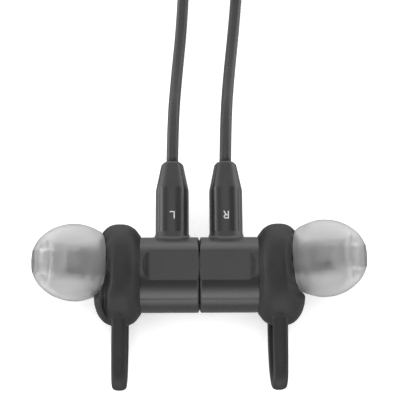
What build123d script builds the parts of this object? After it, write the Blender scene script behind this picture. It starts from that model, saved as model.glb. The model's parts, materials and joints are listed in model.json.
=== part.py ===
from build123d import *
import math
import os

# Neckband earphones, laid open on a table with the two earbuds clasped together inside the band.
# Millimetres. +Z is up, +Y runs from the nape of the band towards the cord loops, +X to the right pod.
# Most pieces are drawn for the right-hand side; the left-hand ones are their mirror images.

# Earbuds: their common axis is parallel to X.
BUD_Y = 25.0
BUD_Z = 8.4
SEAM_GAP = 0.08          # from X = 0 to each bud's end face
HOUSING_R = 6.2
HOUSING_BORE_R = 5.3
HOUSING_END = 13.2       # the tube's outer end, where the dome starts
FACET_HEIGHT = 5.69      # flat on top of the housing, above the axis
FACET_HALF_WIDTH = 2.45
FACET_END = 8.5
SLEEVE_START = 9.5
SLEEVE_R = 8.4
CREST_U = 13.0            # where the sleeve is widest
SLEEVE_BORE_R = 6.28
SLEEVE_MOUTH_R = 5.0
FIN_U = 13.0              # mid plane of the fin
FIN_THICK = 2.6
FIN_RIB = 2.0

# Nozzle and ear tip: their axis leaves the rim point outwards, tilted up and a little forwards.
RIM_U = 16.26
RIM_RISE = 0.7
RIM_CLEARANCE = 0.4      # between the fin sleeve and the tip's rim
TIP_TILT = 14.0
TIP_FORWARD = {-1: 1.85, 1: 2.27}    # the rim centre's offset along +Y, left and right
TIP_YAW = {-1: -1.9, 1: -0.6}        # the nozzle's turn towards +Y, left and right
TIP_LENGTH = 11.1
NOZZLE_R = 2.1
NOZZLE_COLLAR_R = 2.45
NOZZLE_COLLAR = (3.0, 3.9)
NOZZLE_END = 5.9
NOZZLE_BORE_R = 1.5
SCREEN_R = 1.85
SCREEN_SEAT = 0.35        # depth of the screen's seat in the nozzle's end
TIP_CORE_R = 2.95
TIP_CORE_BORE_R = 2.52
TIP_GRIP_R = 2.17
TIP_BORE_R = 1.9
TIP_MOUTH_R = 1.8

# Cord barrels on the housings.
BARREL_U = 4.45
BARREL_R = 2.75
BARREL_SHOULDER = 14.6   # from the housing axis, where the taper starts
BARREL_TOP = 19.5
BARREL_TOP_R = 1.86
BARREL_FLARE = 0.3        # the foot is this much wider than the barrel
SPIGOT_R = 1.6
CORD_R = 1.0
CORD_HOLE_R = 1.03

# Neckband: a half circle of silicone strap with straight ends, and a pod on each end.
ARC_Y = -9.0
BAND_R = 60.0
STRAP_THICK = 4.2
STRAP_HEIGHT = 7.6
STRAP_Z = 4.5            # the strap's mid height
STRAP_END = 6.0
STRAP_CORE_R = 0.6
STRAP_CABLE_R = 0.55
STRAP_CHANNEL_RISE = 1.4
CHANNEL_GAP = 0.05
POD_START = 2.0
POD_END = 62.0
POD_HALF_WIDTH = 7.0
POD_TAPER = 17.0          # length of each drawn-in end
POD_HEIGHT = 9.0
POD_WALL = 1.2
POD_TOP_ROUND = 2.6
POD_SIDE_ROUND = 100.0
ROOF_Z = POD_HEIGHT - POD_WALL
SCREW_YS = (POD_START + 10.5, POD_END - 10.5)
SPLIT_Z = 4.6
BOOT_END = 71.1
CORD_EXIT_Z = 4.5

# Buttons on the pods' top faces: (centre along Y, length along Y).
RIGHT_BUTTONS = {
    "volume_up_button": (44.0, 8.0),
    "play_button": (34.0, 9.0),
    "volume_down_button": (24.0, 8.0),
}
LEFT_BUTTONS = {"power_button": (44.0, 8.0)}
BUTTON_MARKS = {
    "volume_up_button": [(1.0, 0.25), (0.25, 1.0)],
    "play_button": [(0.5, 0.5)],
    "volume_down_button": [(1.0, 0.25)],
    "power_button": [(0.3, 0.9)],
}
BUTTON_WIDTH = 4.6
BUTTON_GAP = 0.12
BUTTON_PROUD = 0.5
BUTTON_TRAVEL = 0.35
BOARD_Z = 3.6
BOARD_THICK = 0.8
RIGHT_SWITCH_TOP = BOARD_Z + BOARD_THICK + 1.5
LEFT_SWITCH_TOP = POD_WALL + BOARD_THICK + 1.5
LIGHT_Y = 17.0
MIC_Y = 40.0
MIC_HOLE_R = 0.45

# Charging socket and its hinged cover, on the left pod's outer side.
PORT_Y = 36.0
PORT_Z = 3.6
COVER_WIDTH = 11.6
COVER_HEIGHT = 4.4
COVER_KNUCKLE_R = 0.55
COVER_PIN_R = 0.25
COVER_PIVOT_X = POD_HALF_WIDTH - 0.55
COVER_PIVOT_Y = PORT_Y - 5.8

# The cords' routes from the pods' boots to the barrels, one point for each corner of the tube.
CORD_ROUTE = {
    1: [
        (60.0, 71.1, 4.5), (60.0, 79.0, 4.1), (60.6, 92.0, 1.4), (61.8, 109.0, 1.1), (59.2, 127.0, 1.1),
        (50.5, 142.0, 1.1), (36.5, 149.0, 1.1), (22.0, 144.0, 1.1), (12.5, 129.5, 1.1), (8.6, 111.0, 1.1),
        (7.8, 92.0, 1.1), (6.55, 75.0, 1.3), (5.25, 62.0, 4.2), (4.6, 52.5, 7.9), (4.45, 44.5, 8.4),
    ],
    -1: [
        (-60.0, 71.1, 4.5), (-60.0, 79.0, 4.1), (-60.8, 92.0, 1.4), (-62.0, 109.0, 1.1),
        (-58.0, 126.5, 1.1), (-48.0, 140.5, 1.1), (-33.5, 146.5, 1.1), (-19.0, 141.0, 1.1),
        (-9.0, 127.5, 1.1), (-3.6, 110.5, 1.1), (-2.2, 92.0, 1.1), (-2.75, 75.0, 1.3),
        (-3.8, 62.0, 4.2), (-4.35, 52.5, 7.9), (-4.45, 44.5, 8.4),
    ],
}
SIDE_NAME = {-1: "left", 1: "right"}


def to_side(shape, side):
    return shape if side > 0 else mirror(shape, about=Plane.YZ)


def save(shape, name):
    export_step(shape, f"parts/{name}.step")


def save_pair(shape, name):
    """Writes a piece drawn for the right-hand side, and its mirror image."""
    for side in (-1, 1):
        save(to_side(shape, side), f"{SIDE_NAME[side]}_{name}")


def turned(outline):
    """Turns an outline of (distance along X, radius) points into a solid about the X axis."""
    return revolve(make_face(Polyline(*outline, close=True)), Axis.X)


def rod(radius, start, end):
    """A cylinder on the X axis from start to end."""
    return Pos((start + end) / 2, 0, 0) * Rot(0, 90, 0) * Cylinder(radius, end - start)


def ring(outer, inner, start, end):
    return rod(outer, start, end) - rod(inner, start - 1, end + 1)


def on_bud(shape):
    return Pos(0, BUD_Y, BUD_Z) * shape


def on_tip_axis(shape, side):
    """Places a piece drawn along +X from the rim's centre onto the nozzle's tilted axis."""
    rim = Pos(RIM_U, TIP_FORWARD[side], RIM_RISE) * Rot(0, 0, TIP_YAW[side]) * Rot(0, -TIP_TILT, 0)
    return on_bud(rim * shape)


# ---------------------------------------------------------------- earbuds

def rear_housing():
    """A tube with a flat on top for the clasp side, and a hole in front for the cord barrel."""
    tube = rod(HOUSING_R, SEAM_GAP, HOUSING_END)
    tube = chamfer(tube.edges().filter_by(GeomType.CIRCLE).sort_by(Axis.X)[0], 0.25)
    tube -= rod(HOUSING_BORE_R, -1, HOUSING_END + 1)
    flat = Pos(0, 0, FACET_HEIGHT + 1) * Box(2 * FACET_END, 2 * FACET_HALF_WIDTH, 2)
    flat = fillet(flat.edges().filter_by(Axis.Z), FACET_HALF_WIDTH - 0.01)
    tube -= flat
    tube -= Pos(BARREL_U, HOUSING_R, 0) * Rot(90, 0, 0) * Cylinder(SPIGOT_R + 0.02, 6)
    return on_bud(tube)


def end_cap():
    return on_bud(rod(HOUSING_BORE_R, SEAM_GAP + 0.25, 1.0))


def clasp_magnet():
    return on_bud(rod(3.4, 1.0, 2.6))


def front_housing(side):
    """The dome over the driver, with the tilted nozzle and its lip."""
    plug_r = HOUSING_BORE_R - 0.02
    dome = turned([
        (11.4, 0), (11.4, plug_r), (HOUSING_END, plug_r), (HOUSING_END, HOUSING_R),
        (13.6, HOUSING_R), (14.85, 4.9), (15.6, 3.75), (15.85, 3.0), (15.85, 0),
    ])
    near, far = NOZZLE_COLLAR
    nozzle = turned([
        (-2.0, 0), (-2.0, NOZZLE_R), (near, NOZZLE_R), (near, NOZZLE_COLLAR_R),
        (far, NOZZLE_COLLAR_R), (far, NOZZLE_R), (NOZZLE_END, NOZZLE_R), (NOZZLE_END, 0),
    ])
    hollow = turned([(11.0, 0), (11.0, 4.65), (13.6, 4.65), (14.7, 3.5), (14.8, 0)])
    seat = NOZZLE_END - SCREEN_SEAT
    passage = turned([
        (-3.2, 0), (-3.2, NOZZLE_BORE_R), (seat, NOZZLE_BORE_R), (seat, SCREEN_R),
        (NOZZLE_END + 1, SCREEN_R), (NOZZLE_END + 1, 0),
    ])
    return on_bud(dome) + on_tip_axis(nozzle, side) - on_bud(hollow) - on_tip_axis(passage, side)


def nozzle_screen(side):
    return on_tip_axis(rod(SCREEN_R, NOZZLE_END - SCREEN_SEAT, NOZZLE_END - 0.05), side)


def driver_basket():
    """A cup that carries the magnet and the diaphragm."""
    return on_bud(ring(4.6, 4.2, 9.6, 12.6) + ring(4.6, 1.4, 9.2, 9.6))


def driver_magnet():
    return on_bud(ring(2.8, 0.8, 9.6, 11.4))


def driver_diaphragm():
    surround = ring(4.6, 3.4, 12.6, 12.8)
    return on_bud(surround + turned([(12.6, 0), (12.6, 3.4), (12.8, 3.4), (13.2, 1.6), (13.4, 0)]))


def cord_barrel():
    """The turned barrel that carries the cord into the housing, tapered at its far end."""
    profile = [
        (CORD_HOLE_R, 5.2), (SPIGOT_R, 5.2), (SPIGOT_R, 6.0),
        (BARREL_R + BARREL_FLARE, 5.4), (BARREL_R + BARREL_FLARE, 6.4), (BARREL_R, 7.0),
        (BARREL_R, BARREL_SHOULDER), (BARREL_TOP_R, BARREL_TOP - 0.4), (BARREL_TOP_R - 0.35, BARREL_TOP),
        (1.3, BARREL_TOP), (1.3, BARREL_TOP - 1.5), (CORD_HOLE_R, BARREL_TOP - 1.5),
    ]
    body = revolve(make_face(Polyline(*profile, close=True)), Axis.Y)
    saddle = rod(HOUSING_R + 0.01, -BARREL_R - 1, BARREL_R + 1)
    neck = Rot(90, 0, 0) * Cylinder(SPIGOT_R, 30)
    body -= saddle - neck
    body -= rod(HOUSING_BORE_R - 0.1, -BARREL_R - 1, BARREL_R + 1)
    return on_bud(Pos(BARREL_U, 0, 0) * body)


def cord_grommet():
    """A soft ring in the barrel's end, round the cord."""
    bush = Cylinder(1.29, 1.5) - Cylinder(CORD_HOLE_R, 2)
    return on_bud(Pos(BARREL_U, BARREL_TOP - 0.75, 0) * Rot(90, 0, 0) * bush)


def fin_loop():
    """The bent silicone rib that braces against the ear: an open loop in a plane across the axis."""
    under = Polyline((-2.0, -7.6), (-11.5, -7.4))
    tip = ThreePointArc((-11.5, -7.4), (-17.5, -4.8), (-19.1, -0.9))
    shoulder = ThreePointArc((-19.1, -0.9), (-18.1, 1.5), (-15.8, 2.4))
    over = Polyline((-15.8, 2.4), (-2.0, 3.7), (-2.0, -7.6))
    outline = make_face(under + tip + shoulder + over)
    window = offset(outline, amount=-FIN_RIB)
    inner_face = Plane.YZ.offset(FIN_U - FIN_THICK / 2)
    loop = extrude(inner_face * outline, amount=FIN_THICK)
    return loop - extrude(inner_face.offset(-1) * window, amount=FIN_THICK + 2)


def fin_sleeve(side):
    """The silicone sleeve round the housing's outer end, and its fin."""
    crown = Spline(
        (SLEEVE_START, 6.5), (10.3, 7.36), (11.5, 8.18), (CREST_U, SLEEVE_R),
        (14.7, 8.18), (16.1, 7.33), (17.05, 5.75), (17.2, 5.1),
    )
    back = Polyline(
        (17.2, 5.1), (17.2, SLEEVE_MOUTH_R), (16.0, SLEEVE_MOUTH_R), (13.9, SLEEVE_BORE_R),
        (SLEEVE_START, SLEEVE_BORE_R), (SLEEVE_START, 6.5),
    )
    band = revolve(make_face(crown + back), Axis.X)
    fin = fin_loop() - rod(SLEEVE_BORE_R + 0.4, FIN_U - FIN_THICK, FIN_U + FIN_THICK)
    beyond_rim = on_tip_axis(Pos(20 - RIM_CLEARANCE, 0, 0) * Box(40, 40, 40), side)
    return on_bud(band) - beyond_rim + on_bud(fin)


def ear_tip(side):
    """A soft umbrella tip: an outer skirt folded back over a core tube that grips the nozzle."""
    crown = Spline(
        (0, 5.2), (1.5, 5.8), (2.9, 6.22), (4.2, 6.35), (5.5, 6.25), (6.8, 5.94),
        (8.0, 5.42), (9.2, 4.6), (10.0, 3.83), (10.5, 3.16), (10.85, 2.5), (TIP_LENGTH, 1.95),
    )
    front = Polyline(
        (TIP_LENGTH, 1.95), (TIP_LENGTH, TIP_MOUTH_R), (10.2, TIP_BORE_R), (6.1, TIP_BORE_R),
        (6.1, TIP_GRIP_R), (4.1, TIP_GRIP_R), (4.1, TIP_CORE_BORE_R), (1.0, TIP_CORE_BORE_R),
    )
    core = Polyline((1.0, TIP_CORE_BORE_R), (1.0, TIP_CORE_R), (8.2, TIP_CORE_R + 0.1), (8.6, 3.6))
    skirt = Spline((8.6, 3.6), (7.4, 4.8), (5.8, 5.45), (3.8, 5.7), (1.3, 5.25), (0, 4.75))
    rim = Line((0, 4.75), (0, 5.2))
    return on_tip_axis(revolve(make_face(crown + front + core + skirt + rim), Axis.X), side)


# ---------------------------------------------------------------- neckband strap

def band_path(end_y):
    """The strap's centre line, from the left end round the nape to the right end."""
    left = Line((-BAND_R, end_y, STRAP_Z), (-BAND_R, ARC_Y, STRAP_Z))
    nape_point = (0, ARC_Y - BAND_R, STRAP_Z)
    nape = ThreePointArc((-BAND_R, ARC_Y, STRAP_Z), nape_point, (BAND_R, ARC_Y, STRAP_Z))
    right = Line((BAND_R, ARC_Y, STRAP_Z), (BAND_R, end_y, STRAP_Z))
    return left + nape + right


def along_band(section, end_y):
    """Sweeps a section, drawn as (across, up) about the strap's centre, round the band."""
    start = Plane(origin=(-BAND_R, end_y, STRAP_Z), x_dir=(1, 0, 0), z_dir=(0, -1, 0))
    return sweep(start * section, path=band_path(end_y))


def strap_core_wire():
    return along_band(Pos(0, -STRAP_CHANNEL_RISE) * Circle(STRAP_CORE_R), STRAP_END - 0.4)


def strap_cable():
    return along_band(Pos(0, STRAP_CHANNEL_RISE) * Circle(STRAP_CABLE_R), STRAP_END - 0.4)


def neck_strap():
    section = RectangleRounded(STRAP_THICK, STRAP_HEIGHT, 1.6)
    section -= Pos(0, -STRAP_CHANNEL_RISE) * Circle(STRAP_CORE_R + CHANNEL_GAP)
    section -= Pos(0, STRAP_CHANNEL_RISE) * Circle(STRAP_CABLE_R + CHANNEL_GAP)
    return along_band(section, STRAP_END)


# ---------------------------------------------------------------- pods, drawn about x = 0

def on_pod(shape, side):
    return to_side(Pos(BAND_R, 0, 0) * shape, side)


def save_on_pod(shape, name, side):
    save(on_pod(shape, side), name)


def block(x, y, z):
    """A box from its (low, high) spans along each axis."""
    middle = [(low + high) / 2 for low, high in (x, y, z)]
    size = [high - low for low, high in (x, y, z)]
    return Pos(*middle) * Box(*size)


def post(radius, y, bottom, top):
    return Pos(0, y, (bottom + top) / 2) * Cylinder(radius, top - bottom)


def pod_outline():
    """The pod seen from above: full width in the middle, drawn in at both ends."""
    half = [
        (3.6, POD_START), (POD_HALF_WIDTH, POD_START + POD_TAPER),
        (POD_HALF_WIDTH, POD_END - POD_TAPER), (3.0, POD_END),
    ]
    corners = half + [(-x, y) for x, y in reversed(half)]
    face = make_face(Polyline(*corners, close=True))
    wide = face.vertices().filter_by(lambda v: abs(abs(v.X) - POD_HALF_WIDTH) < 0.1)
    return fillet(wide, POD_SIDE_ROUND)


def pod_body():
    body = extrude(pod_outline(), amount=POD_HEIGHT)
    body = fillet(body.edges().group_by(Axis.Z)[-1], POD_TOP_ROUND)
    return fillet(body.edges().group_by(Axis.Z)[0], 1.0)


def pod_cavity():
    inner = offset(pod_outline(), amount=-POD_WALL - 0.3)
    room = Pos(0, 0, POD_WALL) * extrude(inner, amount=ROOF_Z - POD_WALL)
    return room & block((-10, 10), (POD_START + 6, POD_END - 6), (0, POD_HEIGHT))


def gasket():
    """A flat seal between the shells, left open where the strap and the cord boot come in."""
    middle = offset(pod_outline(), amount=-0.7)
    seal = extrude(middle - offset(middle, amount=-0.5), amount=0.5)
    ends = block((-2.6, 2.6), (0, POD_START + 5), (-1, 1))
    ends += block((-2.4, 2.4), (POD_END - 5, POD_END + 1), (-1, 1))
    return Pos(0, 0, SPLIT_Z - 0.5) * (seal - ends)


def screw_holes():
    """Counterbored holes from below, one near each end of the pod."""
    holes = [post(0.72, y, 1.0, 6.7) + post(1.32, y, -1.0, 1.4) for y in SCREW_YS]
    return holes[0] + holes[1]


def pod_screws():
    """Two small screws with cross recesses, their heads in the counterbores."""
    screws = []
    for y in SCREW_YS:
        screw = post(1.3, y, 0.2, 1.4) + post(0.7, y, 1.4, 6.5)
        screw -= block((-0.75, 0.75), (y - 0.15, y + 0.15), (0, 0.7))
        screw -= block((-0.15, 0.15), (y - 0.75, y + 0.75), (0, 0.7))
        screws.append(screw)
    return Compound(children=screws)


def strap_end_room():
    section = RectangleRounded(STRAP_THICK + 0.1, STRAP_HEIGHT + 0.1, 1.6)
    mouth = Plane(origin=(0, STRAP_END + 0.05, STRAP_Z), x_dir=(1, 0, 0), z_dir=(0, -1, 0))
    return extrude(mouth * section, amount=25)


def cord_boot_root(radius):
    return Pos(0, POD_END - 1.5, CORD_EXIT_Z) * Rot(90, 0, 0) * Cylinder(radius, 5.0)


def pod_shell(bottom, top):
    """One shell of the pod: the wall, its screw posts, and the rooms for the strap and the cord boot."""
    slab = block((-20, 20), (-20, 90), (bottom, top))
    whole = pod_body() - pod_cavity()
    for y in SCREW_YS:
        whole += post(2.0, y, POD_WALL, POD_HEIGHT - 0.8)
    shell = whole & slab
    return shell - screw_holes() - strap_end_room() - cord_boot_root(1.92) - gasket()


def strap_boot():
    """The soft collar where the strap enters the pod."""
    near = Plane(origin=(0, POD_START, STRAP_Z), x_dir=(1, 0, 0), z_dir=(0, -1, 0))
    far = near.offset(9.0)
    collar = loft([near * RectangleRounded(7.0, 8.9, 2.4), far * RectangleRounded(5.4, 8.4, 2.2)])
    return collar - strap_end_room()


def cord_boot():
    """The tapered strain relief on the pod's front end, with rings moulded round it."""
    length = BOOT_END - POD_END
    cone = Pos(0, POD_END + length / 2, CORD_EXIT_Z) * Rot(-90, 0, 0) * Cone(2.7, 1.5, length)
    for ring_number in range(4):
        along = 2.2 + 1.7 * ring_number
        radius = 2.7 - 1.2 * along / length
        cone -= Pos(0, POD_END + along, CORD_EXIT_Z) * Rot(90, 0, 0) * Torus(radius + 0.12, 0.32)
    bore = Pos(0, POD_END, CORD_EXIT_Z) * Rot(90, 0, 0) * Cylinder(CORD_HOLE_R, 40)
    return cone + cord_boot_root(1.9) - bore


# ---------------------------------------------------------------- buttons and boards

def button_hole(y, length):
    pill = RectangleRounded(BUTTON_WIDTH + 2 * BUTTON_GAP, length + 2 * BUTTON_GAP, BUTTON_WIDTH / 2 + 0.1)
    return Pos(0, y, ROOF_Z - 1) * extrude(pill, amount=4)


def button(y, length, symbol, switch_top):
    """A pill-shaped key with a flange under the roof, a stem over its switch and a raised symbol."""
    top = POD_HEIGHT + BUTTON_PROUD
    flange_top = ROOF_Z - 0.1
    flange_bottom = flange_top - 0.6
    pill = extrude(RectangleRounded(BUTTON_WIDTH, length, BUTTON_WIDTH / 2 - 0.01), amount=top - flange_top)
    pill = Pos(0, y, flange_top) * fillet(pill.edges().group_by(Axis.Z)[-1], 0.35)
    pill += block((-2.9, 2.9), (y - length / 2 - 0.45, y + length / 2 + 0.45), (flange_bottom, flange_top))
    pill += post(1.0, y, switch_top + BUTTON_TRAVEL + 0.05, flange_bottom)
    for width, depth in BUTTON_MARKS[symbol]:
        pill += block((-width, width), (y - depth, y + depth), (top - 0.1, top + 0.15))
    return pill


def key_switch(y, base):
    return block((-1.7, 1.7), (y - 1.7, y + 1.7), (base, base + 1.2)) + post(0.8, y, base + 1.2, base + 1.5)


def board(start, end, z):
    slab = block((-4.0, 4.0), (start, end), (z, z + BOARD_THICK))
    for y in SCREW_YS:
        slab -= post(2.1, y, 0, 9)
    return slab


def battery_cell():
    pouch = block((-4.2, 4.2), (14.8, 31.0), (1.3, 5.3))
    return fillet(pouch.edges().filter_by(Axis.Y), 1.0)


def battery_protection_board():
    return block((-3.5, 3.5), (15.5, 20.5), (5.3, 6.1))


def charging_board():
    return board(31.4, 49.2, POD_WALL)


def shield_can():
    """A pressed lid over the radio, on the board's underside."""
    can = block((-4.0, 4.0), (19.0, 30.0), (BOARD_Z - 1.6, BOARD_Z))
    return can - block((-3.8, 3.8), (19.2, 29.8), (BOARD_Z - 1.4, BOARD_Z + 1))


def light_pipe():
    return post(0.6, LIGHT_Y, BOARD_Z + BOARD_THICK + 0.3, POD_HEIGHT - 0.02)


def microphone_capsule():
    return Pos(2.5, 0, 0) * post(1.6, MIC_Y, POD_WALL, POD_WALL + 1.2)


# ---------------------------------------------------------------- charging port

def port_slot(width, height, start, end):
    """A slot-shaped bar along X at the port, from start to end."""
    slot = Plane(origin=(start, PORT_Y, PORT_Z), x_dir=(0, 1, 0), z_dir=(1, 0, 0))
    return extrude(slot * RectangleRounded(width, height, height / 2 - 0.01), amount=end - start)


def charging_socket():
    shell = port_slot(8.9, 3.1, -0.4, 5.9) - port_slot(8.4, 2.6, 0.4, 7.0)
    return shell + block((0.0, 5.2), (PORT_Y - 3.3, PORT_Y + 3.3), (PORT_Z - 0.35, PORT_Z + 0.35))


def cover_hinge_pin():
    return Pos(COVER_PIVOT_X, COVER_PIVOT_Y, PORT_Z) * Cylinder(COVER_PIN_R, COVER_HEIGHT + 0.9)


def port_recess():
    """The opening for the socket, the shallow recess for its cover and the pocket for the hinge."""
    room = port_slot(9.1, 3.3, 0, 10)
    ys = (COVER_PIVOT_Y - 0.9, COVER_PIVOT_Y + COVER_WIDTH + 0.15)
    zs = (PORT_Z - COVER_HEIGHT / 2 - 0.1, PORT_Z + COVER_HEIGHT / 2 + 0.1)
    room += block((POD_HALF_WIDTH - 0.95, 10), ys, zs)
    room += block((POD_HALF_WIDTH - 1.2, 10), (ys[0], COVER_PIVOT_Y + 0.9), zs)
    pin_hole = Cylinder(COVER_PIN_R + 0.02, COVER_HEIGHT + 1.0)
    return room + Pos(COVER_PIVOT_X, COVER_PIVOT_Y, PORT_Z) * pin_hole


def port_cover():
    """A flush plate that swings outwards on a pin at its rear end, with a pull lip at the other."""
    zs = (PORT_Z - COVER_HEIGHT / 2, PORT_Z + COVER_HEIGHT / 2)
    plate = block((POD_HALF_WIDTH - 0.8, POD_HALF_WIDTH), (COVER_PIVOT_Y, COVER_PIVOT_Y + COVER_WIDTH), zs)
    plate += Pos(COVER_PIVOT_X, COVER_PIVOT_Y, PORT_Z) * Cylinder(COVER_KNUCKLE_R, COVER_HEIGHT)
    end_y = COVER_PIVOT_Y + COVER_WIDTH
    lip_zs = (zs[0] + 0.9, zs[1] - 0.9)
    plate += block((POD_HALF_WIDTH - 0.1, POD_HALF_WIDTH + 0.35), (end_y - 1.2, end_y - 0.4), lip_zs)
    return plate - Pos(COVER_PIVOT_X, COVER_PIVOT_Y, PORT_Z) * Cylinder(COVER_PIN_R + 0.03, 20)


# ---------------------------------------------------------------- cords

def cord(points):
    """A tube along straight runs and tangent arcs, each arc as large as its two runs allow."""
    route = [Vector(*point) for point in points]
    runs = [after - before for before, after in zip(route, route[1:])]
    radii = []
    for before, after in zip(runs, runs[1:]):
        half_turn = math.radians(before.get_angle(after)) / 2
        radii.append(0.45 * min(before.length, after.length) / math.tan(half_turn))
    path = FilletPolyline(*points, radius=radii)
    section = Plane(origin=path @ 0, z_dir=path % 0) * Circle(CORD_R)
    tube = sweep(section, path=path)
    print("cord radii", [round(radius, 1) for radius in radii])
    share = tube.volume / (math.pi * CORD_R**2 * path.length)
    print("cord length", round(path.length, 1), "volume share", round(share, 4))
    return tube


# ---------------------------------------------------------------- writing the pieces

def make_buds():
    save_pair(rear_housing(), "rear_housing")
    save_pair(end_cap(), "end_cap")
    save_pair(clasp_magnet(), "clasp_magnet")
    save_pair(driver_basket(), "driver_basket")
    save_pair(driver_magnet(), "driver_magnet")
    save_pair(driver_diaphragm(), "driver_diaphragm")
    save_pair(cord_barrel(), "cord_barrel")
    save_pair(cord_grommet(), "cord_grommet")
    for side in (-1, 1):
        name = SIDE_NAME[side]
        save(to_side(front_housing(side), side), f"{name}_front_housing")
        save(to_side(nozzle_screen(side), side), f"{name}_nozzle_screen")
        save(to_side(fin_sleeve(side), side), f"{name}_fin_sleeve")
        save(to_side(ear_tip(side), side), f"{name}_ear_tip")


def make_band():
    save(neck_strap(), "neck_strap")
    save(strap_core_wire(), "strap_core_wire")
    save(strap_cable(), "strap_cable")


def make_pods():
    top = pod_shell(SPLIT_Z, POD_HEIGHT)
    bottom = pod_shell(0, SPLIT_Z)
    right_top = top - post(0.62, LIGHT_Y, ROOF_Z - 1, POD_HEIGHT + 1)
    for name, (y, length) in RIGHT_BUTTONS.items():
        right_top -= button_hole(y, length)
        save_on_pod(button(y, length, name, RIGHT_SWITCH_TOP), name, 1)
    left_top = top - port_recess()
    for name, (y, length) in LEFT_BUTTONS.items():
        left_top -= button_hole(y, length)
        save_on_pod(button(y, length, name, LEFT_SWITCH_TOP), name, -1)
    mic_hole = Pos(2.5, 0, 0) * post(MIC_HOLE_R, MIC_Y, -1, 3)
    save_on_pod(right_top, "right_pod_top_shell", 1)
    save_on_pod(bottom - mic_hole, "right_pod_bottom_shell", 1)
    save_on_pod(left_top, "left_pod_top_shell", -1)
    save_on_pod(bottom - port_recess(), "left_pod_bottom_shell", -1)
    save_on_pod(gasket(), "right_pod_gasket", 1)
    save_on_pod(gasket() - port_recess(), "left_pod_gasket", -1)
    for side in (-1, 1):
        name = SIDE_NAME[side]
        save_on_pod(pod_screws(), f"{name}_pod_screws", side)
        save_on_pod(strap_boot(), f"{name}_strap_boot", side)
        save_on_pod(cord_boot(), f"{name}_cord_boot", side)
    save_on_pod(board(14.8, 49.2, BOARD_Z), "main_board", 1)
    switches = [key_switch(y, BOARD_Z + BOARD_THICK) for y, length in RIGHT_BUTTONS.values()]
    save_on_pod(Compound(children=switches), "key_switches", 1)
    save_on_pod(shield_can(), "radio_shield_can", 1)
    save_on_pod(light_pipe(), "status_light_pipe", 1)
    save_on_pod(microphone_capsule(), "microphone_capsule", 1)
    save_on_pod(battery_cell(), "battery_cell", -1)
    save_on_pod(battery_protection_board(), "battery_protection_board", -1)
    save_on_pod(charging_board(), "charging_board", -1)
    save_on_pod(key_switch(LEFT_BUTTONS["power_button"][0], POD_WALL + BOARD_THICK), "power_switch", -1)
    save_on_pod(charging_socket(), "charging_socket", -1)
    save_on_pod(port_cover(), "port_cover", -1)
    save_on_pod(cover_hinge_pin(), "port_cover_pin", -1)


def make_cords():
    for side, points in CORD_ROUTE.items():
        save(cord(points), f"{SIDE_NAME[side]}_cord")


def main():
    os.makedirs("parts", exist_ok=True)
    make_buds()
    make_band()
    make_pods()
    make_cords()


main()
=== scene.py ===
import json
import math

import bmesh
import bpy
from mathutils import Matrix, Vector


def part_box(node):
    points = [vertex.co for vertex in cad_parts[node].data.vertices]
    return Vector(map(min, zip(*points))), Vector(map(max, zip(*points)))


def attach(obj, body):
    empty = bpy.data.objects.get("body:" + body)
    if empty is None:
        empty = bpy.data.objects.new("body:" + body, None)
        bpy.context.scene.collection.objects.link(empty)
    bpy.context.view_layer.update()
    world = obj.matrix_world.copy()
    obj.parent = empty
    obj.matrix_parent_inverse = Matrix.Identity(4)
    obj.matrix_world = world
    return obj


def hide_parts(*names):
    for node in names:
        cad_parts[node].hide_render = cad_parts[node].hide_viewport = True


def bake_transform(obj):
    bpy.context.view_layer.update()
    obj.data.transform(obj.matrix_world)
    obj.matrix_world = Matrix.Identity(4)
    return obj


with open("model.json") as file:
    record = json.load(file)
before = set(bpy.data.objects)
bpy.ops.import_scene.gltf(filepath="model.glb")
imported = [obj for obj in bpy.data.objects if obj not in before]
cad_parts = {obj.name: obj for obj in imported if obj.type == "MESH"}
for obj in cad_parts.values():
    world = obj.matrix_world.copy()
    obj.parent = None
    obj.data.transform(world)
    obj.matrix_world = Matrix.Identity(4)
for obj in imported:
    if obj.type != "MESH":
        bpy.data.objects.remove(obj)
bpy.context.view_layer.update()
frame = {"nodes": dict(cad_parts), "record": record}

MM = 0.001
SIDES = {"left": -1, "right": 1}

# ---------------------------------------------------------------- places, read from the frame
LOW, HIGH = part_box("right_rear_housing")
BUD_Y = (LOW.y + HIGH.y) / 2 / MM
BUD_Z = (LOW.z + HIGH.z) / 2 / MM
HOUSING_R = (HIGH.y - LOW.y) / 2 / MM
HOUSING_END = HIGH.x / MM
BARREL_LOW, BARREL_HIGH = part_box("right_cord_barrel")
BARREL_U = (BARREL_LOW.x + BARREL_HIGH.x) / 2 / MM
BARREL_TOP = BARREL_HIGH.y / MM - BUD_Y
STRAP_LOW, STRAP_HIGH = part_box("neck_strap")
POD_LOW, POD_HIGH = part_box("right_pod_bottom_shell")
BAND_R = (POD_LOW.x + POD_HIGH.x) / 2 / MM
BOOT_LOW, BOOT_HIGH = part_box("right_cord_boot")
BOOT_END = BOOT_HIGH.y / MM
BOOT_Z = (BOOT_LOW.z + BOOT_HIGH.z) / 2 / MM


# ---------------------------------------------------------------- mesh helpers

def mesh_object(name, vertices, faces):
    """A smooth-shaded mesh from points in millimetres."""
    mesh = bpy.data.meshes.new(name)
    mesh.from_pydata([Vector(v) * MM for v in vertices], [], faces)
    mesh.update()
    for polygon in mesh.polygons:
        polygon.use_smooth = True
    piece = bpy.data.objects.new(name, mesh)
    bpy.context.scene.collection.objects.link(piece)
    return piece


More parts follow.
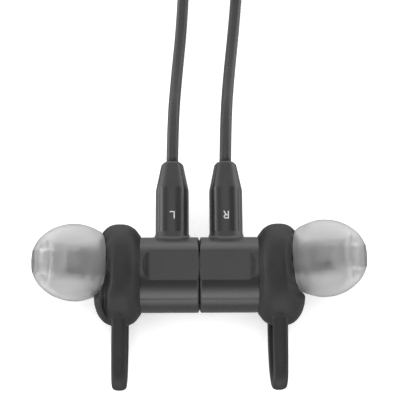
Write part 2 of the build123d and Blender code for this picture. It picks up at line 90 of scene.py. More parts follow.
def skin(rows, close_rows=False, cap_ends=False):
    """Vertices and faces of a sheet over rows of points; each row is a closed loop."""
    count = len(rows[0])
    vertices = [point for row in rows for point in row]
    faces = []
    pairs = list(zip(range(len(rows) - 1), range(1, len(rows))))
    if close_rows:
        pairs.append((len(rows) - 1, 0))
    for a, b in pairs:
        for i in range(count):
            j = (i + 1) % count
            faces.append((a * count + i, a * count + j, b * count + j, b * count + i))
    if cap_ends:
        faces.append(tuple(reversed(range(count))))
        faces.append(tuple((len(rows) - 1) * count + i for i in range(count)))
    return vertices, faces


def outward(piece):
    """Turns the faces outwards, so that light and bump read them the right way."""
    work = bmesh.new()
    work.from_mesh(piece.data)
    bmesh.ops.recalc_face_normals(work, faces=work.faces)
    work.to_mesh(piece.data)
    work.free()
    return piece


def rounded(corners, steps=6, closed=True):
    """An outline through (x, y, radius) corners, each rounded by an arc of about that radius."""
    points = []
    count = len(corners)
    for i, (x, y, radius) in enumerate(corners):
        here = Vector((x, y))
        if radius <= 0 or (not closed and i in (0, count - 1)):
            points.append((x, y))
            continue
        before = Vector(corners[i - 1][:2]) - here
        after = Vector(corners[(i + 1) % count][:2]) - here
        half = before.angle(after) / 2
        reach = min(radius / math.tan(half), 0.49 * before.length, 0.49 * after.length)
        start, end = here + before.normalized() * reach, here + after.normalized() * reach
        for k in range(steps + 1):
            t = k / steps
            spot = start * (1 - t) ** 2 + here * 2 * t * (1 - t) + end * t**2
            points.append((spot.x, spot.y))
    return points


def spun(name, outline, place, segments=128, shape=None):
    """Spins a closed (along, radius) outline about the local X axis, then puts it in place.
    shape(along, radius, angle) may move each point before it is placed."""
    rows = []
    for i in range(segments):
        angle = 2 * math.pi * i / segments
        row = []
        for along, radius in outline:
            a, r = shape(along, radius, angle) if shape else (along, radius)
            row.append(place @ Vector((a, r * math.sin(angle), r * math.cos(angle))))
        rows.append(row)
    return outward(mesh_object(name, *skin(rows, close_rows=True)))


def tube(name, points, radius, sides=20, profile=None):
    """A tube along points in millimetres, turning with the path and never twisting."""
    rows = []
    points = [Vector(p) for p in points]
    tangent = (points[1] - points[0]).normalized()
    side = tangent.cross(Vector((0, 0, 1))).normalized()
    for i, point in enumerate(points):
        ahead = points[min(i + 1, len(points) - 1)] - points[max(i - 1, 0)]
        turned = tangent.rotation_difference(ahead.normalized())
        side = (turned @ side).normalized()
        tangent = ahead.normalized()
        up = side.cross(tangent).normalized()
        scale = radius(i / (len(points) - 1)) if callable(radius) else radius
        row = []
        for k in range(sides):
            angle = 2 * math.pi * k / sides
            a, b = profile(angle) if profile else (math.cos(angle), math.sin(angle))
            row.append(point + (side * a + up * b) * scale)
        rows.append(row)
    return outward(mesh_object(name, *skin(rows, cap_ends=True)))


def bud_place(side):
    """Local X runs outwards from the joint along the buds' axis."""
    place = Matrix.Translation((0, BUD_Y, BUD_Z))
    return place @ Matrix.Diagonal((side, 1, 1, 1))


def add_modifier(piece, kind, **settings):
    modifier = piece.modifiers.new(kind.lower(), kind)
    for key, value in settings.items():
        setattr(modifier, key, value)
    return modifier


def apply_modifiers(piece):
    graph = bpy.context.evaluated_depsgraph_get()
    mesh = bpy.data.meshes.new_from_object(piece.evaluated_get(graph))
    piece.modifiers.clear()
    piece.data = mesh
    for polygon in mesh.polygons:
        polygon.use_smooth = True
    return piece


# ---------------------------------------------------------------- materials

class Shader:
    """A Principled material with a few helpers for procedural detail."""

    def __init__(self, name, colour, roughness, **sockets):
        self.material = bpy.data.materials.new(name)
        self.material.use_nodes = True
        self.nodes = self.material.node_tree.nodes
        self.links = self.material.node_tree.links
        self.bsdf = self.nodes["Principled BSDF"]
        self.colour = colour
        self.bsdf.inputs["Base Color"].default_value = (*colour, 1)
        self.bsdf.inputs["Roughness"].default_value = roughness
        for key, value in sockets.items():
            self.bsdf.inputs[key.replace("_", " ")].default_value = value
        self.coordinates = self.nodes.new("ShaderNodeTexCoord").outputs["Object"]

    def noise(self, size_mm, detail=3.0, stretch=None):
        node = self.nodes.new("ShaderNodeTexNoise")
        node.inputs["Scale"].default_value = 1 / (size_mm * MM)
        node.inputs["Detail"].default_value = detail
        source = self.coordinates
        if stretch:
            mapping = self.nodes.new("ShaderNodeMapping")
            mapping.inputs["Scale"].default_value = stretch
            self.links.new(source, mapping.inputs["Vector"])
            source = mapping.outputs["Vector"]
        self.links.new(source, node.inputs["Vector"])
        return node.outputs["Fac"]

    def ramp(self, value, low, high, start, end):
        node = self.nodes.new("ShaderNodeMapRange")
        node.inputs["From Min"].default_value = low
        node.inputs["From Max"].default_value = high
        node.inputs["To Min"].default_value = start
        node.inputs["To Max"].default_value = end
        self.links.new(value, node.inputs["Value"])
        return node.outputs["Result"]

    def mix_colour(self, factor, first, second):
        node = self.nodes.new("ShaderNodeMix")
        node.data_type = "RGBA"
        self.links.new(factor, node.inputs["Factor"])
        for socket, colour in (("A", first), ("B", second)):
            slot = [s for s in node.inputs if s.name == socket and s.type == "RGBA"][0]
            slot.default_value = (*colour, 1)
        return [s for s in node.outputs if s.type == "RGBA"][0]

    def vary_colour(self, size_mm, spread, low=0.35, high=0.65):
        dark = [c * (1 - spread) for c in self.colour]
        light = [min(1, c * (1 + spread)) for c in self.colour]
        factor = self.ramp(self.noise(size_mm), low, high, 0, 1)
        self.links.new(self.mix_colour(factor, dark, light), self.bsdf.inputs["Base Color"])
        return self

    def vary_roughness(self, size_mm, low, high, **noise):
        value = self.ramp(self.noise(size_mm, **noise), 0.3, 0.7, low, high)
        self.links.new(value, self.bsdf.inputs["Roughness"])
        return self

    def clear_along_x(self, start_mm, end_mm, low, high):
        """Lets more light through with the distance from the joint of the buds: the rim is milkier."""
        split = self.nodes.new("ShaderNodeSeparateXYZ")
        self.links.new(self.coordinates, split.inputs[0])
        distance = self.nodes.new("ShaderNodeMath")
        distance.operation = "ABSOLUTE"
        self.links.new(split.outputs["X"], distance.inputs[0])
        value = self.ramp(distance.outputs[0], start_mm * MM, end_mm * MM, low, high)
        self.links.new(value, self.bsdf.inputs["Transmission Weight"])
        return self

    def bump(self, size_mm, depth_mm, **noise):
        node = self.nodes.new("ShaderNodeBump")
        node.inputs["Distance"].default_value = depth_mm * MM
        self.links.new(self.noise(size_mm, **noise), node.inputs["Height"])
        self.links.new(node.outputs["Normal"], self.bsdf.inputs["Normal"])
        return self


def make_materials():
    """Every material by its name; all but the mark's ink are slots of the record."""
    made = {}

    def add(name, colour, roughness, **sockets):
        made[name] = Shader(name, colour, roughness, **sockets)
        return made[name]

    bud_plastic = add("bud_plastic", (0.0225, 0.0225, 0.0235), 0.34, Specular_IOR_Level=0.5)
    bud_plastic.vary_colour(3.0, 0.06).vary_roughness(1.1, 0.18, 0.23).bump(0.07, 0.0006, detail=2.0)
    pod_plastic = add("pod_plastic", (0.018, 0.018, 0.019), 0.40)
    pod_plastic.vary_colour(6.0, 0.08).vary_roughness(2.0, 0.38, 0.48).bump(0.14, 0.010, detail=2.0)
    button_plastic = add("button_plastic", (0.028, 0.028, 0.030), 0.34)
    button_plastic.vary_colour(3.0, 0.06).vary_roughness(1.5, 0.32, 0.42).bump(0.12, 0.006)
    strap_silicone = add("strap_silicone", (0.016, 0.016, 0.017), 0.5)
    strap_silicone.vary_colour(9.0, 0.10).vary_roughness(3.0, 0.44, 0.58).bump(0.2, 0.012, detail=4.0)
    fin_silicone = add("fin_silicone", (0.016, 0.016, 0.0165), 0.48, Specular_IOR_Level=0.30)
    fin_silicone.vary_colour(4.0, 0.08).vary_roughness(1.6, 0.44, 0.52).bump(0.12, 0.004, detail=3.0)
    cord_jacket = add("cord_jacket", (0.022, 0.022, 0.023), 0.42)
    cord_jacket.vary_colour(5.0, 0.08).vary_roughness(1.2, 0.26, 0.33).bump(0.1, 0.002, detail=2.0)
    tip_silicone = add(
        "tip_silicone", (0.65, 0.65, 0.655), 0.32, Transmission_Weight=0.92, IOR=1.20,
        Coat_Weight=1.0, Coat_Roughness=0.30, Coat_IOR=1.5,
    )
    tip_silicone.clear_along_x(16.2, 18.4, 0.82, 0.94)
    tip_silicone.vary_roughness(1.4, 0.29, 0.35).bump(0.25, 0.003, detail=2.0)
    spring_steel = add("spring_steel", (0.55, 0.55, 0.56), 0.32, Metallic=1.0)
    spring_steel.vary_roughness(0.8, 0.22, 0.42, stretch=(1, 1, 6)).bump(0.15, 0.004)
    magnet_metal = add("magnet_metal", (0.62, 0.61, 0.60), 0.2, Metallic=1.0)
    magnet_metal.vary_roughness(0.7, 0.14, 0.28).bump(0.2, 0.003)
    microphone_metal = add("microphone_metal", (0.70, 0.62, 0.42), 0.3, Metallic=1.0)
    microphone_metal.vary_roughness(0.5, 0.22, 0.4).bump(0.15, 0.003)
    nozzle_mesh = add("nozzle_mesh", (0.30, 0.30, 0.31), 0.4, Metallic=1.0)
    nozzle_mesh.vary_roughness(0.3, 0.3, 0.6).bump(0.16, 0.03, detail=0.0)
    diaphragm_film = add("diaphragm_film", (0.52, 0.36, 0.20), 0.25)
    diaphragm_film.vary_colour(1.0, 0.15).bump(0.4, 0.02)
    seal_rubber = add("seal_rubber", (0.02, 0.02, 0.02), 0.65)
    seal_rubber.vary_roughness(0.8, 0.55, 0.75).bump(0.15, 0.01)
    circuit_board = add("circuit_board", (0.012, 0.085, 0.035), 0.3)
    circuit_board.vary_colour(1.2, 0.35, 0.48, 0.52).vary_roughness(0.9, 0.22, 0.4).bump(0.5, 0.02)
    battery_wrap = add("battery_wrap", (0.55, 0.57, 0.60), 0.28, Metallic=0.6)
    battery_wrap.vary_roughness(1.5, 0.2, 0.4).bump(1.2, 0.08, detail=4.0)
    light_pipe = add("light_pipe", (0.85, 0.88, 0.92), 0.18, Transmission_Weight=0.7)
    light_pipe.vary_roughness(0.4, 0.12, 0.3).bump(0.2, 0.004)
    mark_ink = add("mark_ink", (0.50, 0.50, 0.50), 0.5)
    mark_ink.vary_colour(0.25, 0.12).bump(0.08, 0.004)
    return {name: shader.material for name, shader in made.items()}


MATERIALS = make_materials()


def finish_piece(piece, material, body, *replaced):
    """Gives a new piece its material and body, and hides the CAD nodes that it stands for."""
    piece.data.materials.clear()
    piece.data.materials.append(MATERIALS[material])
    if body:
        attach(piece, body)
    if replaced:
        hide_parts(*replaced)
    return piece


def dress_cad_nodes():
    """Every CAD node takes the detailed material of its slot."""
    for part in frame["record"]["subparts"]:
        node = frame["nodes"][part["node"]]
        for slot in node.material_slots:
            slot.material = MATERIALS[part["material_slot"]]


# ---------------------------------------------------------------- camera, floor and light

VIEW_ELEVATION = math.radians(70.5)
VIEW_AZIMUTH = math.radians(-0.3)
VIEW_DISTANCE = 270.0
VIEW_WIDTH = 65.6        # what the frame spans at the buds' axis
VIEW_RISE = 12.3         # the frame's centre above the joint of the buds


def make_camera():
    back = Vector((
        math.sin(VIEW_AZIMUTH) * math.cos(VIEW_ELEVATION),
        -math.cos(VIEW_AZIMUTH) * math.cos(VIEW_ELEVATION),
        math.sin(VIEW_ELEVATION),
    ))
    turn = (-back).to_track_quat("-Z", "Y")
    target = Vector((0.1, BUD_Y, BUD_Z)) + turn @ Vector((0, VIEW_RISE, 0))
    data = bpy.data.cameras.new("camera")
    data.sensor_width = 36.0
    data.lens = 36.0 * VIEW_DISTANCE / VIEW_WIDTH
    data.clip_start, data.clip_end = 0.01, 10
    camera = bpy.data.objects.new("camera", data)
    bpy.context.scene.collection.objects.link(camera)
    camera.rotation_mode = "QUATERNION"
    camera.rotation_quaternion = turn
    camera.location = (target + back * VIEW_DISTANCE) * MM
    bpy.context.scene.camera = camera


def area_light(name, place, aim, size, power):
    data = bpy.data.lights.new(name, "AREA")
    data.shape = "RECTANGLE"
    data.size, data.size_y = size[0] * MM, size[1] * MM
    data.energy = power
    light = bpy.data.objects.new(name, data)
    bpy.context.scene.collection.objects.link(light)
    light.location = Vector(place) * MM
    light.rotation_mode = "QUATERNION"
    light.rotation_quaternion = (Vector(aim) - Vector(place)).to_track_quat("-Z", "Y")
    return light


# Brightness of the studio's white tent against the sine of the height above the horizon.
TENT = [
    (-1.0, 0.30), (-0.6, 0.45), (-0.35, 0.85), (-0.12, 1.45), (0.05, 1.60), (0.18, 1.55), (0.30, 1.25),
    (0.50, 0.78), (0.80, 0.84), (1.0, 1.0),
]
# Panels on the tent: direction as (degrees from overhead, compass degrees with +X as 0), half width, factor.
PANELS = [
    ((36, -90), 23, 0.0),
    ((42, 0), 34, 0.0),
    ((46, 180), 30, 0.25),
    ((99, 10), 38, 1.6),
    ((99, 180), 41, 2.5),
    ((90, -90), 34, 1.9),
    ((72, 90), 28, 1.15),
]


def make_world():
    """A white tent, bright round the horizon, with dark panels at the camera and at both sides."""
    world = bpy.data.worlds.new("studio")
    bpy.context.scene.world = world
    world.use_nodes = True
    nodes, links = world.node_tree.nodes, world.node_tree.links
    place = nodes.new("ShaderNodeTexCoord").outputs["Generated"]
    split = nodes.new("ShaderNodeSeparateXYZ")
    links.new(place, split.inputs[0])
    ramp = nodes.new("ShaderNodeValToRGB")
    ramp.color_ramp.interpolation = "EASE"
    halfway = nodes.new("ShaderNodeMapRange")
    halfway.inputs["From Min"].default_value = -1.0
    links.new(split.outputs["Z"], halfway.inputs["Value"])
    links.new(halfway.outputs["Result"], ramp.inputs[0])
    stops = ramp.color_ramp.elements
    while len(stops) < len(TENT):
        stops.new(0.5)
    for stop, (height, value) in zip(stops, TENT):
        stop.position = (height + 1) / 2
        stop.color = (value, value, value, 1)
    result = ramp.outputs["Color"]
    for (tilt, compass), half, left in PANELS:
        tilt, compass = math.radians(tilt), math.radians(compass)
        dot = nodes.new("ShaderNodeVectorMath")
        dot.operation = "DOT_PRODUCT"
        dot.inputs[1].default_value = (
            math.sin(tilt) * math.cos(compass), math.sin(tilt) * math.sin(compass), math.cos(tilt)
        )
        links.new(place, dot.inputs[0])
        shade = nodes.new("ShaderNodeMapRange")
        shade.interpolation_type = "SMOOTHSTEP"
        shade.inputs["From Min"].default_value = math.cos(math.radians(half))
        shade.inputs["From Max"].default_value = math.cos(math.radians(half * 0.45))
        shade.inputs["To Min"].default_value = 1.0
        shade.inputs["To Max"].default_value = left
        links.new(dot.outputs["Value"], shade.inputs["Value"])
        product = nodes.new("ShaderNodeVectorMath")
        product.operation = "SCALE"
        links.new(result, product.inputs[0])
        links.new(shade.outputs["Result"], product.inputs["Scale"])
        result = product.outputs[0]
    links.new(result, nodes["Background"].inputs["Color"])
    nodes["Background"].inputs["Strength"].default_value = 1.0


FLOOR_HALF = 3000
FLOOR_Z = -0.05


def make_floor():
    corners = [(x * FLOOR_HALF, y * FLOOR_HALF, FLOOR_Z) for x, y in ((-1, -1), (1, -1), (1, 1), (-1, 1))]
    floor = mesh_object("floor", corners, [(0, 1, 2, 3)])
    shader = Shader(
        "floor_white", (0.86, 0.86, 0.86), 0.7, Specular_IOR_Level=0.2, Emission_Color=(1, 1, 1, 1),
        Emission_Strength=0.42,
    )
    shader.vary_roughness(30.0, 0.65, 0.75)
    floor.data.materials.append(shader.material)
    floor.visible_glossy = False


def make_stage():
    make_camera()
    make_floor()
    make_world()
    wash = area_light("overhead_wash", (0, BUD_Y, 900), (0, BUD_Y, 0), (1400, 1400), 11.0)
    wash.visible_glossy = False
    bpy.context.scene.view_settings.view_transform = "Standard"


# ---------------------------------------------------------------- cords

CORD_R = 1.0
CORD_ROUTE = {
    "right": [
        (60.0, 71.1, 4.5), (60.0, 79.0, 4.1), (60.6, 92.0, 1.4), (61.8, 109.0, 1.1), (59.2, 127.0, 1.1),
        (50.5, 142.0, 1.1), (36.5, 149.0, 1.1), (22.0, 144.0, 1.1), (12.5, 129.5, 1.1), (8.6, 111.0, 1.1),
        (7.8, 92.0, 1.1), (6.55, 75.0, 1.3), (5.25, 62.0, 4.2), (4.6, 52.5, 7.9), (4.45, 44.5, 8.4),
    ],
    "left": [
        (-60.0, 71.1, 4.5), (-60.0, 79.0, 4.1), (-60.8, 92.0, 1.4), (-62.0, 109.0, 1.1), (-58.0, 126.5, 1.1),
        (-48.0, 140.5, 1.1), (-33.5, 146.5, 1.1), (-19.0, 141.0, 1.1), (-9.0, 127.5, 1.1), (-3.6, 110.5, 1.1),
        (-2.2, 92.0, 1.1), (-2.75, 75.0, 1.3), (-3.8, 62.0, 4.2), (-4.35, 52.5, 7.9), (-4.45, 44.5, 8.4),
    ],
}


def smooth_route(name, points):
    """The points, in millimetres, of a NURBS line whose control points are the route's."""
    curve = bpy.data.curves.new(name, "CURVE")
    curve.dimensions = "3D"
    spline = curve.splines.new("NURBS")
    spline.points.add(len(points) - 1)
    for control, point in zip(spline.points, points):
        control.co = (*(Vector(point) * MM), 1)
    spline.order_u = 3
    spline.use_endpoint_u = True
    spline.resolution_u = 16
    carrier = bpy.data.objects.new(name, curve)
    bpy.context.scene.collection.objects.link(carrier)
    graph = bpy.context.evaluated_depsgraph_get()
    line = bpy.data.meshes.new_from_object(carrier.evaluated_get(graph))
    path = [v.co / MM for v in line.vertices]
    bpy.data.objects.remove(carrier)
    return path


def make_cord(name):
    path = smooth_route(f"{name}_route", CORD_ROUTE[name])
    cord = tube(f"{name}_cord_jacket", path, CORD_R, sides=20)
    finish_piece(cord, "cord_jacket", None, f"{name}_cord")
    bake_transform(cord)


# ---------------------------------------------------------------- earbuds

FACET_Z = 5.69           # height of the flat above the bud's axis
FACET_END = 7.7          # where its flat floor starts to sweep up
FACET_SWEEP = 0.26       # how steeply, per millimetre squared


def facet_cap(along):
    """Height above the axis that the flat on the housing allows at a distance along it."""
    return FACET_Z + FACET_SWEEP * max(0.0, along - FACET_END) ** 2


def soft_min(a, b, blend):
    """The lower of two heights, rounded over where they meet."""
    h = max(blend - abs(a - b), 0.0) / blend
    return min(a, b) - h * h * blend * 0.25


def housing_angles():
    """Angles about the axis, close together where the flat is."""
    fine = [math.radians(-30 + 0.75 * i) for i in range(81)]
    coarse = [math.radians(30 + 3.0 * i) for i in range(1, 100)]
    return fine + coarse


def make_rear_housing(name, side):
    stations = [
        (0.6, 5.3), (0.004, 5.32), (0.004, 5.72), (0.05, 5.78), (0.14, 6.06), (0.2, 6.15), (0.3, HOUSING_R),
    ]
    along = 0.6
    while along < HOUSING_END:
        stations.append((along, HOUSING_R))
        along += 0.12 if 7.2 < along < 9.4 else 0.45
    stations += [(HOUSING_END, HOUSING_R), (HOUSING_END, 5.5)]
    place = bud_place(side)
    rows = []
    for u, radius in stations:
        row = []
        for angle in housing_angles():
            y, z = radius * math.sin(angle), radius * math.cos(angle)
            if abs(angle) < math.radians(30.5) and radius > 5.8:
                z = soft_min(z, facet_cap(u), 0.05)
            row.append(place @ Vector((u, y, z)))
        rows.append(row)
    body = outward(mesh_object(f"{name}_housing_shell", *skin(rows)))
    return finish_piece(body, "bud_plastic", f"{name}_bud", f"{name}_rear_housing")


BUSH_R = 1.29            # the soft bush in the barrel's mouth


def barrel_outline():
    top = BARREL_TOP
    return rounded([
        (6.0, 1.2, 0), (6.0, 3.35, 0.0), (6.22, 3.30, 0.1), (6.42, 2.98, 0.25), (7.1, 2.75, 0.4),
        (14.6, 2.75, 3.0), (19.1, 1.87, 0.35), (top, 1.5, 0.3), (top, BUSH_R + 0.02, 0.04),
        (top - 1.5, BUSH_R + 0.02, 0), (top - 1.5, 1.2, 0),
    ], steps=5)


def make_barrel(name, side):
    """The cord barrel: its foot follows the round of the housing."""
    place = bud_place(side) @ Matrix.Translation((BARREL_U, 0, 0)) @ Matrix.Rotation(math.pi / 2, 4, "Z")

    def follow(along, radius, angle):
        z = radius * math.cos(angle)
        drop = HOUSING_R - math.sqrt(max(HOUSING_R**2 - z * z, 0))
        share = max(0.0, min(1.0, (8.6 - along) / 2.2))
        return along - drop * share, radius

    barrel = spun(f"{name}_barrel_shell", barrel_outline(), place, segments=128, shape=follow)
    finish_piece(barrel, "bud_plastic", f"{name}_bud", f"{name}_cord_barrel")
    bush_outline = rounded([
        (BARREL_TOP - 1.5, CORD_R + 0.04, 0.0), (BARREL_TOP - 1.5, BUSH_R, 0.1),
        (BARREL_TOP - 0.16, BUSH_R, 0.1), (BARREL_TOP - 0.02, BUSH_R - 0.09, 0.06),
        (BARREL_TOP - 0.02, CORD_R + 0.1, 0.05), (BARREL_TOP - 0.2, CORD_R + 0.04, 0.1),
    ], steps=4)
    bush = spun(f"{name}_cord_bush", bush_outline, place, segments=64)
    return finish_piece(bush, "fin_silicone", f"{name}_bud", f"{name}_cord_grommet")


RIM_U = 16.26
RIM_RISE = 0.7
TIP_TILT = math.radians(14)
TIP_FORWARD = {"left": 1.85, "right": 2.27}
TIP_YAW = {"left": math.radians(-1.9), "right": math.radians(-0.6)}


def tip_place(name, side):
    """Local X runs outwards along the nozzle, from the centre of the tip's rim."""
    rim = Matrix.Translation((RIM_U, TIP_FORWARD[name], RIM_RISE))
    return bud_place(side) @ rim @ Matrix.Rotation(TIP_YAW[name], 4, "Z") @ Matrix.Rotation(-TIP_TILT, 4, "Y")


def arc_points(points, steps=10):
    """A smooth Catmull-Rom line through points in the plane."""
    points = [Vector(p) for p in points]
    padded = [points[0] * 2 - points[1]] + points + [points[-1] * 2 - points[-2]]
    line = []
    for a, b, c, d in zip(padded, padded[1:], padded[2:], padded[3:]):
        for k in range(steps):
            t = k / steps
            square, cube = 2 * a - 5 * b + 4 * c - d, 3 * b - a - 3 * c + d
            line.append(0.5 * (2 * b + (c - a) * t + square * t**2 + cube * t**3))
    line.append(points[-1])
    return [tuple(p) for p in line]


def tip_outline():
    crown = arc_points([
        (0.06, 5.12), (0.6, 5.44), (1.6, 5.83), (2.9, 6.22), (4.2, 6.35), (5.5, 6.25), (6.8, 5.94),
        (8.0, 5.42), (9.2, 4.60), (10.0, 3.83), (10.5, 3.16), (10.85, 2.5), (11.05, 2.05), (11.1, 1.9),
        (11.02, 1.8), (10.8, 1.8),
    ], steps=5)
    inside = [(10.2, 1.85), (6.1, 1.9), (6.1, 2.17), (4.1, 2.17), (4.1, 2.52), (1.0, 2.52), (1.0, 2.85)]
    core = arc_points([
        (1.15, 2.95), (4.0, 2.95), (7.2, 2.98), (8.3, 3.1), (8.7, 3.5), (8.3, 4.2), (7.4, 4.85),
    ], steps=5)
    skirt = arc_points([
        (7.4, 4.85), (6.4, 5.28), (5.2, 5.6), (3.8, 5.75), (2.4, 5.6), (1.2, 5.2), (0.3, 4.85), (0.02, 4.9),
    ], steps=5)
    return crown + inside + core + skirt[1:]


def make_tip(name, side):
    tip = spun(f"{name}_tip_silicone", tip_outline(), tip_place(name, side), segments=112)
    return finish_piece(tip, "tip_silicone", f"{name}_tip", f"{name}_ear_tip")


FIN_U = 13.0
FIN_LEAN = {"left": 0.0, "right": -0.055}    # how far the lower side of the loop steps along the axis


def fin_path():
    """The loop's centre line as (Y, Z) from the housing's axis, from the lower root to the upper one."""
    return arc_points([
        (-3.0, -6.7), (-7.5, -6.6), (-11.6, -6.35), (-15.2, -5.0), (-17.4, -2.9), (-18.1, -0.8),
        (-17.2, 0.75), (-15.0, 1.4), (-11.5, 1.75), (-8.0, 2.05), (-6.55, 2.37),
    ], steps=8)


def sleeve_outline():
    crown = arc_points([
        (9.5, 6.36), (9.62, 6.45), (9.86, 6.75), (10.3, 7.36), (10.66, 7.69), (11.0, 7.92), (11.5, 8.18),
        (12.2, 8.36), (13.0, 8.40), (13.8, 8.38), (14.7, 8.20), (15.35, 7.92), (15.75, 7.66), (16.1, 7.33),
        (16.7, 6.52), (17.05, 5.75), (17.12, 5.35), (17.0, 5.1),
    ], steps=4)
    back = [(16.0, 5.06), (13.9, 6.34), (9.6, 6.34)]
    return crown + back


# The crease behind the left sleeve's lip: (degrees from the top towards -Y, distance along the axis).
CREASE = [(-80, 14.6), (-61.5, 15.15), (-40, 15.1), (-21.5, 14.6), (-3.5, 14.45)]
CREASE_DEPTH = 1.25
CREASE_WIDTHS = (0.32, 0.60)    # towards the housing, towards the tip


def crease_depth(name, along, turn):
    first, last = CREASE[0][0], CREASE[-1][0]
    if name != "left" or not first - 10 < turn < last + 10:
        return 0.0
    fade = min(1.0, (turn - first + 10) / 20, (last + 10 - turn) / 20)
    centre = along_table(CREASE, max(first, min(last, turn)))
    width = CREASE_WIDTHS[0 if along < centre else 1]
    return CREASE_DEPTH * fade * math.exp(-((along - centre) / width) ** 2)


LIP_FULL = 17.12         # the lip's end in the outline
# How far out the sleeve's lip reaches: (degrees from the top, towards +Y positive; distance along the axis).
LIP_REACH = [
    (-180, 17.0), (-88, 17.0), (-72, 17.08), (-58, 17.1), (-40, 15.98), (-25, 15.38), (-10, 15.0),
    (10, 14.92), (30, 15.25), (50, 15.75), (70, 16.4), (95, 17.0), (180, 17.0),
]
CREST_U = 13.0           # the sleeve's widest ring, where the drawing back starts
# What the sleeve has to stay clear of: (distance along the axis, radius of the housing there).
DOME = [(-20.0, 6.2), (13.6, 6.2), (15.0, 4.9), (15.8, 3.8), (16.1, 3.0), (20.0, 3.0)]


def along_table(table, value, smooth=True):
    """Reads a table of (position, height), smoothly between its entries."""
    for (a, start), (b, end) in zip(table, table[1:]):
        if a <= value <= b:
            t = (value - a) / (b - a)
            return start + (end - start) * (t * t * (3 - 2 * t) if smooth else t)
    return table[-1][1]


def sleeve_shape(name):
    """Draws the sleeve's lip back where the tilted ear tip sits in it, and presses in the crease."""

    def shape(along, radius, angle):
        turn = math.degrees(angle)
        turn = turn - 360 if turn > 180 else turn
        reach = along_table(LIP_REACH, turn)
        if along > CREST_U:
            along = CREST_U + (along - CREST_U) * (reach - CREST_U) / (LIP_FULL - CREST_U)
        if radius > 6.6:
            radius -= crease_depth(name, along, turn)
        return along, max(radius, along_table(DOME, along, smooth=False) + 0.08)

    return shape


def make_sleeve(name, side):
    band = spun(f"{name}_sleeve", sleeve_outline(), bud_place(side), segments=180, shape=sleeve_shape(name))
    lean = FIN_LEAN[name]
    path = [bud_place(side) @ Vector((FIN_U + lean * (2.0 - z), y, z)) for y, z in fin_path()]

    def width(t):
        """Full at the roots, a little slimmer towards the loop's end."""
        return 1.0 - 0.04 * math.sin(math.pi * t)

    def section(angle):
        """A flat oval: wide along the axis, thin in the loop's plane."""
        c, s = math.cos(angle), math.sin(angle)
        return 1.27 * math.copysign(abs(c) ** 0.8, c), 0.94 * math.copysign(abs(s) ** 0.7, s)

    loop = tube(f"{name}_fin", path, width, sides=28, profile=section)
    merged = join([band, loop])
    add_modifier(merged, "REMESH", mode="VOXEL", voxel_size=0.12 * MM, adaptivity=0.0)
    add_modifier(merged, "SMOOTH", factor=0.5, iterations=10)
    apply_modifiers(merged)
    return finish_piece(merged, "fin_silicone", f"{name}_fin", f"{name}_fin_sleeve")


def join(parts):
    work = bmesh.new()
    for part in parts:
        work.from_mesh(part.data)
    work.to_mesh(parts[0].data)
    work.free()
    for part in parts[1:]:
        bpy.data.objects.remove(part)
    return parts[0]


MARK_R = 2.765           # just outside the barrel
MARK_MIDDLE = 9.5        # from the bud's axis
MARK_THICK = 0.012
STROKE_HALF = 0.095
STROKE_STEPS = 6


def stroke_mark(name, side, strokes):
    """Thin ink strokes wrapped on the barrel; points are (across, along) in millimetres from its centre."""
    place = bud_place(1) @ Matrix.Translation((side * BARREL_U, 0, 0))
    vertices, faces = [], []
    for start, end in strokes:
        a, b = Vector(start), Vector(end)
        run = (b - a).normalized()
        across = Vector((-run.y, run.x)) * STROKE_HALF
        a, b = a - run * STROKE_HALF, b + run * STROKE_HALF
        for k in range(STROKE_STEPS + 1):
            spot = a.lerp(b, k / STROKE_STEPS)
            for edge in (spot + across, spot - across):
                angle = -edge.x / MARK_R
                x, z = -MARK_R * math.sin(angle), MARK_R * math.cos(angle)
                for lift in (0.0, MARK_THICK):
                    scale = 1 + lift / MARK_R
                    vertices.append(place @ Vector((x * scale, MARK_MIDDLE + edge.y, z * scale)))
        base = len(vertices) - 4 * (STROKE_STEPS + 1)
        for k in range(STROKE_STEPS):
            i = base + 4 * k
            for q in ((0, 2, 6, 4), (1, 5, 7, 3), (0, 4, 5, 1), (2, 3, 7, 6)):
                faces.append(tuple(i + n for n in q))
        faces.append((base, base + 1, base + 3, base + 2))
        last = base + 4 * STROKE_STEPS
        faces.append((last, last + 2, last + 3, last + 1))
    mark = outward(mesh_object(f"{name}_side_mark", vertices, faces))
    return finish_piece(mark, "mark_ink", f"{name}_bud")


# The marks are read with the cords hanging down, so they are drawn upside down here.
LEFT_STROKES = [((0.36, 0.57), (0.36, -0.57)), ((0.36, 0.57), (-0.3, 0.57))]
RIGHT_STROKES = [
    ((0.36, 0.58), (0.36, -0.58)), ((0.36, -0.58), (-0.12, -0.58)), ((-0.12, -0.58), (-0.30, -0.40)),
    ((-0.30, -0.40), (-0.30, -0.22)), ((-0.30, -0.22), (-0.12, -0.04)), ((-0.12, -0.04), (0.36, -0.04)),
    ((0.03, -0.04), (-0.33, 0.58)),
]


def make_buds():
    for name, side in SIDES.items():
        make_rear_housing(name, side)
        make_barrel(name, side)
        make_sleeve(name, side)
        make_tip(name, side)
    stroke_mark("left", -1, LEFT_STROKES)
    stroke_mark("right", 1, RIGHT_STROKES)


# ---------------------------------------------------------------- neckband

ARC_Y = -9.0
STRAP_END = 6.0
STRAP_HALF_WIDTH = 2.1
STRAP_HALF_HEIGHT = 3.8


def band_line(side, steps=72):
    """The strap's centre line from the nape to one pod, in (X, Y)."""
    points = []
    for i in range(steps + 1):
        angle = math.pi / 2 * i / steps
        points.append((side * BAND_R * math.sin(angle), ARC_Y - BAND_R * math.cos(angle)))
    straight = 12
    for i in range(1, straight + 1):
        points.append((side * BAND_R, ARC_Y + (STRAP_END - ARC_Y) * i / straight))
    return points


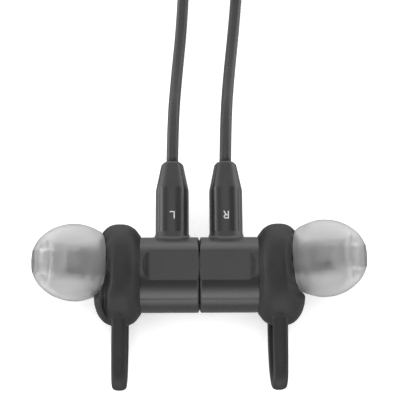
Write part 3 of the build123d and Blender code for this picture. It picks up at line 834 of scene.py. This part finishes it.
def strap_section(angle):
    """A rounded upright bar."""
    c, s = math.cos(angle), math.sin(angle)
    across = STRAP_HALF_WIDTH * math.copysign(abs(c) ** 0.62, c)
    return across, STRAP_HALF_HEIGHT * math.copysign(abs(s) ** 0.5, s)


def make_strap_half(name, side):
    middle = (STRAP_LOW.z + STRAP_HIGH.z) / 2 / MM
    for piece_name, rise, radius, profile, material, sides in (
        ("strap", 0, 1.0, strap_section, "strap_silicone", 48),
        ("core_wire", -1.4, 0.6, None, "spring_steel", 16),
        ("cable", 1.4, 0.55, None, "cord_jacket", 16),
    ):
        path = [(x, y, middle + rise) for x, y in band_line(side)]
        piece = tube(f"{name}_{piece_name}", path, radius, sides=sides, profile=profile)
        node = {"strap": "neck_strap", "core_wire": "strap_core_wire", "cable": "strap_cable"}[piece_name]
        finish_piece(piece, material, None, node)
        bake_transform(piece)


BOOT_START = 62.0        # the pod's front face
BOOT_ROOT = 58.1         # where the boot's root starts, inside the pod
BOOT_RINGS = [64.2, 65.9, 67.6, 69.3]


def make_cord_boot(name, side):
    """The strain relief on the pod's front end: a root inside the pod, and a ringed cone outside it."""
    bore = CORD_R + 0.04
    outline = [
        (BOOT_ROOT, bore), (BOOT_ROOT, 1.88), (BOOT_START - 0.02, 1.88), (BOOT_START + 0.04, 2.5),
        (BOOT_START + 0.2, 2.66),
    ]
    steps = 90
    for i in range(steps + 1):
        along = BOOT_START + 0.3 + (BOOT_END - BOOT_START - 0.5) * i / steps
        radius = 2.70 - 1.2 * (along - BOOT_START) / (BOOT_END - BOOT_START)
        ring = max(math.exp(-((along - middle) / 0.26) ** 4) for middle in BOOT_RINGS)
        outline.append((along, radius - 0.24 * ring))
    outline += [(BOOT_END - 0.06, 1.42), (BOOT_END, 1.3), (BOOT_END, 1.14), (BOOT_END - 0.14, bore)]
    place = Matrix.Translation((side * BAND_R, 0, BOOT_Z)) @ Matrix.Rotation(math.pi / 2, 4, "Z")
    boot = spun(f"{name}_cord_relief", outline, place, segments=96)
    return finish_piece(boot, "strap_silicone", f"{name}_arm", f"{name}_cord_boot")


def make_strap_boot(name, side):
    """The soft collar over the strap where it enters the pod, with two shallow rings near its thin end."""
    outside = [(1.98, 2.3, 3.95), (1.98, 3.3, 4.3), (1.9, 3.46, 4.42)]
    steps = 60
    for i in range(steps + 1):
        t = i / steps
        along = 1.8 - 8.5 * t
        ring = max(math.exp(-((along - middle) / 0.2) ** 4) for middle in (-3.6, -5.1))
        outside.append((along, 3.48 - 0.78 * t - 0.13 * ring, 4.42 - 0.24 * t - 0.10 * ring))
    outside += [
        (-6.85, 2.62, 4.14), (-6.96, 2.5, 4.05), (-6.98, 2.3, 3.95), (-6.8, 2.18, 3.86), (-6.0, 2.15, 3.85),
        (1.6, 2.15, 3.85), (1.9, 2.18, 3.88),
    ]
    sides = 96
    rows = []
    for along, half_width, half_height in outside:
        row = []
        for k in range(sides):
            c, s = strap_section(2 * math.pi * k / sides)
            x = side * BAND_R + half_width * c / STRAP_HALF_WIDTH
            row.append(Vector((x, along, BOOT_Z + half_height * s / STRAP_HALF_HEIGHT)))
        rows.append(row)
    collar = outward(mesh_object(f"{name}_strap_collar", *skin(rows, close_rows=True)))
    return finish_piece(collar, "strap_silicone", f"{name}_arm", f"{name}_strap_boot")


def make_neckband():
    for name, side in SIDES.items():
        make_strap_half(name, side)
        make_cord_boot(name, side)
        make_strap_boot(name, side)


# ---------------------------------------------------------------- the whole scene

dress_cad_nodes()
make_stage()
for cord_name, cord_side in SIDES.items():
    make_cord(cord_name)
make_buds()
make_neckband()
